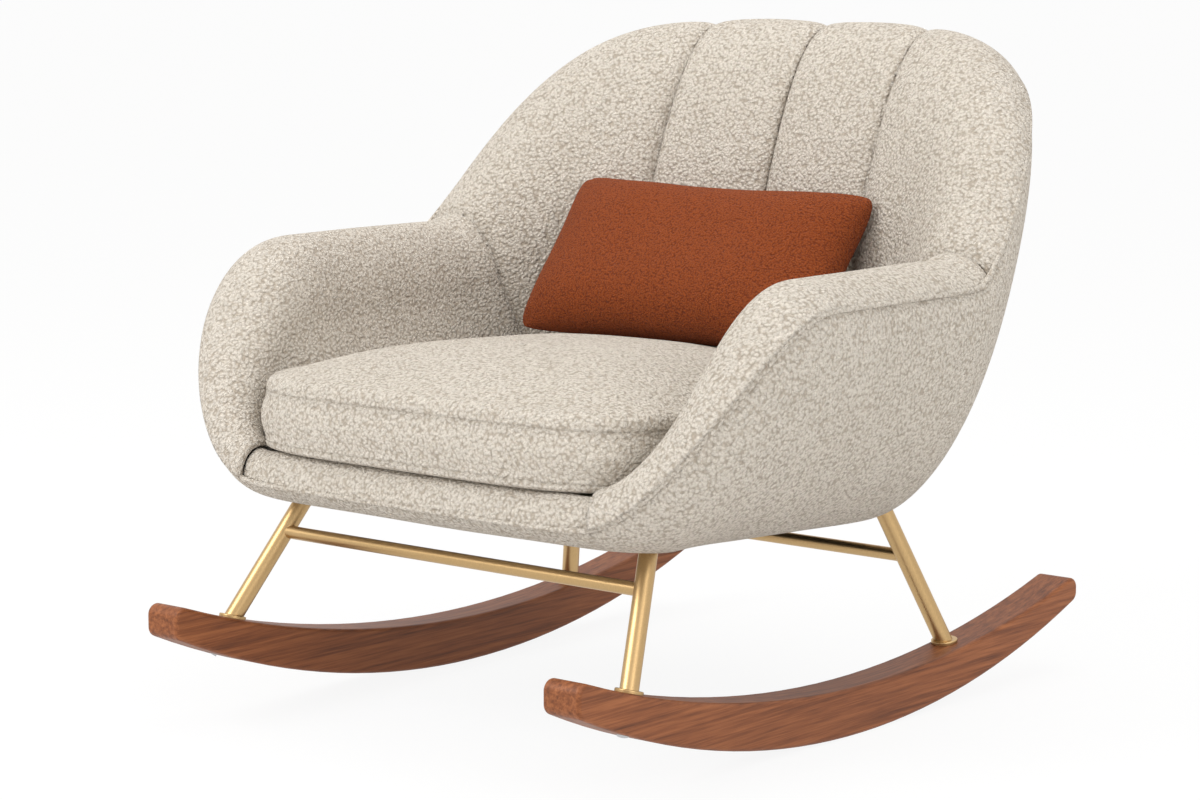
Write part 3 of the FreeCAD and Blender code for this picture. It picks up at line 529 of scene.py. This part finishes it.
def build_pillow():
    bm = bmesh.new()
    us = [math.sin(a) for a in spread(-math.pi / 2, math.pi / 2, PILLOW_COLUMNS)]
    vs = [math.sin(a) for a in spread(-math.pi / 2, math.pi / 2, PILLOW_ROWS)]
    for face in (1, -1):
        grid(bm, [[pillow_point(u, v, face) for u in us] for v in vs])
    bmesh.ops.bridge_loops(bm, edges=[e for e in bm.edges if e.is_boundary])
    bmesh.ops.recalc_face_normals(bm, faces=bm.faces)
    displace(bm, lambda p: lumps(p, *PILLOW_LUMPS))
    return new_object("lumbar_pillow", bm)


# Materials
# Cloth: how its loops are bent, the fibres on them, the slow drift of tone, and the range of the tones,
# from painted shade in the crevices between loops to the loop tops
LOOP_BEND_SCALE, LOOP_BEND, LOOP_SMOOTHNESS = 0.7, 0.9, 0.35
FIBRE_SCALE, FIBRE_TWIST, FIBRE_SHARE = 2.6, 1.2, 0.45
DRIFT_SCALE, DRIFT_SHARE = 7.0, 0.12
CLOTH_LIFT, CLOTH_CREVICE_SHADE, CLOTH_LIGHT = 0.6, 0.04, 0.44
# Walnut, with its grain along the rockers
GRAIN_STRETCH, PORE_STRETCH = (34.0, 0.9, 34.0), (260.0, 6.0, 260.0)
GRAIN_SHARE, PORE_SHARE = 0.8, 0.2
WALNUT_TONES = [(0.30, (0.070, 0.019, 0.006)), (0.48, (0.21, 0.064, 0.020)), (0.70, (0.37, 0.130, 0.045))]
# Brushed metal and plain materials
STREAK_STRETCH, STREAK_SHADE = (90.0, 90.0, 14.0), 0.86
TONE_LOW, TONE_HIGH = 0.35, 0.65


class Nodes:
    """Short forms for building a node material."""

    def __init__(self, name):
        self.material = bpy.data.materials.new(name)
        self.material.use_nodes = True
        self.tree = self.material.node_tree
        self.shader = self.tree.nodes["Principled BSDF"]

    def add(self, kind, **values):
        node = self.tree.nodes.new(kind)
        for key, value in values.items():
            if key in node.inputs:
                node.inputs[key].default_value = value
            else:
                setattr(node, key, value)
        return node

    def link(self, a, b):
        self.tree.links.new(a, b)

    def coords(self, scale=(1, 1, 1)):
        place = self.add("ShaderNodeTexCoord")
        mapping = self.add("ShaderNodeMapping", Scale=scale)
        self.link(place.outputs["Object"], mapping.inputs["Vector"])
        return mapping.outputs["Vector"]

    def noise(self, vector, scale, detail=2.0, roughness=0.5, distortion=0.0):
        node = self.add("ShaderNodeTexNoise", Scale=scale, Detail=detail, Roughness=roughness,
                        Distortion=distortion)
        self.link(vector, node.inputs["Vector"])
        return node.outputs["Fac"]

    def loops(self, vector, scale):
        """Distance from the middle of each of many small rounded cells, bent to look like loops."""
        bend = self.add("ShaderNodeTexNoise", Scale=scale * LOOP_BEND_SCALE)
        self.link(vector, bend.inputs["Vector"])
        shift = self.add("ShaderNodeVectorMath", operation="MULTIPLY_ADD")
        shift.inputs[1].default_value = (LOOP_BEND / scale,) * 3
        self.link(bend.outputs["Color"], shift.inputs[0])
        self.link(vector, shift.inputs[2])
        cells = self.add("ShaderNodeTexVoronoi", feature="SMOOTH_F1", Scale=scale,
                         Smoothness=LOOP_SMOOTHNESS)
        self.link(shift.outputs["Vector"], cells.inputs["Vector"])
        return cells.outputs["Distance"]

    def colour(self, value, stops):
        """Base colour from a value, by a ramp with the given stops."""
        node = self.add("ShaderNodeValToRGB")
        ends = node.color_ramp.elements
        while len(ends) < len(stops):
            ends.new(0.5)
        for end, (position, colour) in zip(ends, stops):
            end.position = position
            end.color = (*colour, 1.0)
        self.link(value, node.inputs["Fac"])
        self.link(node.outputs["Color"], self.shader.inputs["Base Color"])

    def math(self, kind, a, b):
        node = self.add("ShaderNodeMath", operation=kind)
        for socket, value in zip(node.inputs, (a, b)):
            if isinstance(value, (int, float)):
                socket.default_value = value
            else:
                self.link(value, socket)
        return node.outputs["Value"]

    def bump(self, height, strength, distance):
        node = self.add("ShaderNodeBump", Strength=strength, Distance=distance)
        self.link(height, node.inputs["Height"])
        self.link(node.outputs["Normal"], self.shader.inputs["Normal"])

    def set(self, **values):
        for key, value in values.items():
            self.shader.inputs[key.replace("_", " ")].default_value = value


def loops_fabric(name, dark, light, curl, height, sheen):
    """Cloth of short curled loops: the crevices between loops take the dark colour as painted shade, and
    loop tops the light one.
    """
    m = Nodes(name)
    place = m.coords()
    loops = m.loops(place, curl)
    fibres = m.noise(place, curl * FIBRE_SCALE, distortion=FIBRE_TWIST)
    relief = m.math("SUBTRACT", m.math("MULTIPLY", fibres, FIBRE_SHARE), loops)
    drift = m.math("SUBTRACT", m.noise(place, DRIFT_SCALE), 0.5)
    tone = m.math("ADD", relief, m.math("MULTIPLY", drift, DRIFT_SHARE))
    # Painted shade: the colour darkens into the crevices between the loops, following the relief that also
    # drives the bump; fibres and drift add random tone.
    m.colour(m.math("ADD", tone, CLOTH_LIFT), [(CLOTH_CREVICE_SHADE, dark), (CLOTH_LIGHT, light)])
    m.bump(relief, strength=1.0, distance=height)
    m.set(Roughness=0.95, Sheen_Weight=sheen, Sheen_Roughness=0.6, Specular_IOR_Level=0.2)
    return m.material


def walnut():
    m = Nodes("walnut")
    grain = m.noise(m.coords(GRAIN_STRETCH), scale=6.0, detail=8.0, roughness=0.66, distortion=0.12)
    pores = m.noise(m.coords(PORE_STRETCH), scale=3.0, roughness=0.6)
    tone = m.math("ADD", m.math("MULTIPLY", grain, GRAIN_SHARE), m.math("MULTIPLY", pores, PORE_SHARE))
    m.colour(tone, WALNUT_TONES)
    m.bump(pores, strength=0.15, distance=0.0006)
    m.set(Roughness=0.48, Specular_IOR_Level=0.3)
    return m.material


def brushed(name, colour, roughness):
    m = Nodes(name)
    streaks = m.noise(m.coords(STREAK_STRETCH), scale=14.0, detail=3.0, roughness=0.6)
    dark = tuple(STREAK_SHADE * c for c in colour)
    m.colour(streaks, [(TONE_LOW, dark), (TONE_HIGH, colour)])
    m.bump(streaks, strength=0.06, distance=0.0004)
    m.set(Metallic=1.0, Roughness=roughness)
    return m.material


def plain(name, dark, light, scale, roughness, stretch=(1, 1, 1)):
    m = Nodes(name)
    grain = m.noise(m.coords(stretch), scale, detail=4.0)
    m.colour(grain, [(TONE_LOW, dark), (TONE_HIGH, light)])
    m.bump(grain, strength=0.2, distance=0.0005)
    m.set(Roughness=roughness)
    return m.material


MATERIALS = {
    # The first colour of each cloth is painted shade for its crevices, the second the colour of its loop
    # tops.
    "boucle": loops_fabric("boucle", (0.54, 0.46, 0.37), (0.875, 0.80, 0.70),
                           curl=250.0, height=0.0070, sheen=0.12),
    "rust_chenille": loops_fabric("rust_chenille", (0.20, 0.034, 0.0045), (0.36, 0.074, 0.011),
                                  curl=420.0, height=0.0045, sheen=0.03),
    "walnut": walnut(),
    "brass_tube": brushed("brass_tube", (0.58, 0.39, 0.185), 0.36),
    "steel": brushed("steel", (0.55, 0.55, 0.56), 0.35),
    "frame_timber": plain("frame_timber", (0.42, 0.28, 0.15), (0.60, 0.43, 0.25), 12.0, 0.7, (3, 20, 20)),
    "webbing": plain("webbing", (0.06, 0.05, 0.04), (0.14, 0.11, 0.09), 900.0, 0.9),
    "foam": plain("foam", (0.70, 0.62, 0.42), (0.83, 0.77, 0.58), 700.0, 0.95),
    "lining": plain("lining", (0.008, 0.008, 0.008), (0.02, 0.02, 0.02), 800.0, 0.9),
    "moulded_shell": plain("moulded_shell", (0.40, 0.27, 0.15), (0.56, 0.40, 0.23), 12.0, 0.7, (20, 3, 20)),
}
for entry in frame["record"]["subparts"]:
    node = nodes[entry["node"]]
    node.data.materials.clear()
    node.data.materials.append(MATERIALS[entry["material_slot"]])


def dress(obj, slot, body, *replaced):
    """Give a piece its material, hide the parts it replaces, and attach it to the body it rides on."""
    obj.data.materials.append(MATERIALS[slot])
    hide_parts(*replaced)
    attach(obj, body)


# The soft pieces
for name, pad in build_pads().items():
    pad.name = name + "_padding"
    thicken(pad, PAD_THICKNESS)
    dress(pad, "boucle", "chair", name)
rail = build_rail_pad()
dress(rail, "boucle", "chair", "front_rail_pad")
for name, start, stop, columns, replaced in (
        ("outer_fabric_right", -RAIL_END_ANGLE, 90, SIDE_COVER_COLUMNS, "outer_cover_right"),
        ("outer_fabric_left", 90, 180 + RAIL_END_ANGLE, SIDE_COVER_COLUMNS, "outer_cover_left"),
        ("front_fabric", RAIL_END_ANGLE - 180, -RAIL_END_ANGLE, RAIL_COLUMNS, "front_cover")):
    dress(build_cover(name, start, stop, columns), "boucle", "chair", replaced)
dress(build_welt(), "boucle", "chair", "rim_welt")
dress(build_lining(), "lining", "chair", "dust_cover")
cushion = build_cushion()
dress(cushion, "boucle", "seat_cushion", "cushion_cover", "cushion_core")
pillow = build_pillow()
dress(pillow, "rust_chenille", "lumbar_pillow", "pillow_cover", "pillow_filling")

# Stage, lights and camera, in metres
# Floor: white to the camera and in reflections, with a faint shadow
FLOOR_SIZE, FLOOR_GLOW = 60.0, 0.9
bm = bmesh.new()
half = FLOOR_SIZE / 2
grid(bm, [[Vector((x, y, 0)) for y in (-half, half)] for x in (-half, half)])
floor = new_object("floor", bm)
stage = Nodes("studio_white")
stage.set(Base_Color=(0.86, 0.86, 0.86, 1.0), Roughness=1.0)
path = stage.add("ShaderNodeLightPath")
glow = stage.add("ShaderNodeEmission")
shown = stage.math("MAXIMUM", path.outputs["Is Camera Ray"], path.outputs["Is Glossy Ray"])
blend = stage.add("ShaderNodeMixShader")
stage.link(stage.math("MULTIPLY", shown, FLOOR_GLOW), blend.inputs["Fac"])
stage.link(stage.shader.outputs["BSDF"], blend.inputs[1])
stage.link(glow.outputs["Emission"], blend.inputs[2])
output = stage.tree.nodes["Material Output"]
stage.link(blend.outputs["Shader"], output.inputs["Surface"])
floor.data.materials.append(stage.material)

# World: warm light on the chair, white to the camera and in reflections
AMBIENT_COLOUR, AMBIENT_STRENGTH = (1.0, 0.99, 0.97, 1.0), 0.82
world = bpy.data.worlds.new("studio")
bpy.context.scene.world = world
world.use_nodes = True
tree = world.node_tree
ambient = tree.nodes["Background"]
ambient.inputs["Color"].default_value = AMBIENT_COLOUR
ambient.inputs["Strength"].default_value = AMBIENT_STRENGTH
white = tree.nodes.new("ShaderNodeBackground")
white.inputs["Color"].default_value = (1.0, 1.0, 1.0, 1.0)
ray = tree.nodes.new("ShaderNodeLightPath")
mixer = tree.nodes.new("ShaderNodeMixShader")
either = tree.nodes.new("ShaderNodeMath")
either.operation = "MAXIMUM"
tree.links.new(ray.outputs["Is Camera Ray"], either.inputs[0])
tree.links.new(ray.outputs["Is Glossy Ray"], either.inputs[1])
tree.links.new(either.outputs["Value"], mixer.inputs["Fac"])
tree.links.new(ambient.outputs["Background"], mixer.inputs[1])
tree.links.new(white.outputs["Background"], mixer.inputs[2])
tree.links.new(mixer.outputs["Shader"], tree.nodes["World Output"].inputs["Surface"])


def area_light(name, place, target, size, power):
    light = bpy.data.lights.new(name, "AREA")
    light.size = size
    light.energy = power
    obj = bpy.data.objects.new(name, light)
    obj.location = place
    obj.rotation_euler = (Vector(target) - Vector(place)).to_track_quat("-Z", "Y").to_euler()
    bpy.context.scene.collection.objects.link(obj)


area_light("key", (-1.6, -3.2, 3.0), (0, 0, 0.45), size=2.2, power=95.0)
area_light("fill", (3.4, -1.4, 2.0), (0, 0, 0.4), size=2.4, power=40.0)
area_light("top", (0.2, 0.6, 3.4), (0, 0, 0.4), size=2.6, power=40.0)

# Camera, fitted to the photo, with its angles in degrees
CAMERA_PLACE, CAMERA_TILT, CAMERA_TURN = (2.70815, -3.28579, 0.99578), 81.675, 39.99
lens = bpy.data.cameras.new("camera")
lens.sensor_width = 36.0
lens.lens = 104.69
camera = bpy.data.objects.new("camera", lens)
camera.location = CAMERA_PLACE
camera.rotation_euler = (math.radians(CAMERA_TILT), 0.0, math.radians(CAMERA_TURN))
bpy.context.scene.collection.objects.link(camera)
bpy.context.scene.camera = camera
bpy.context.scene.view_settings.view_transform = "Standard"
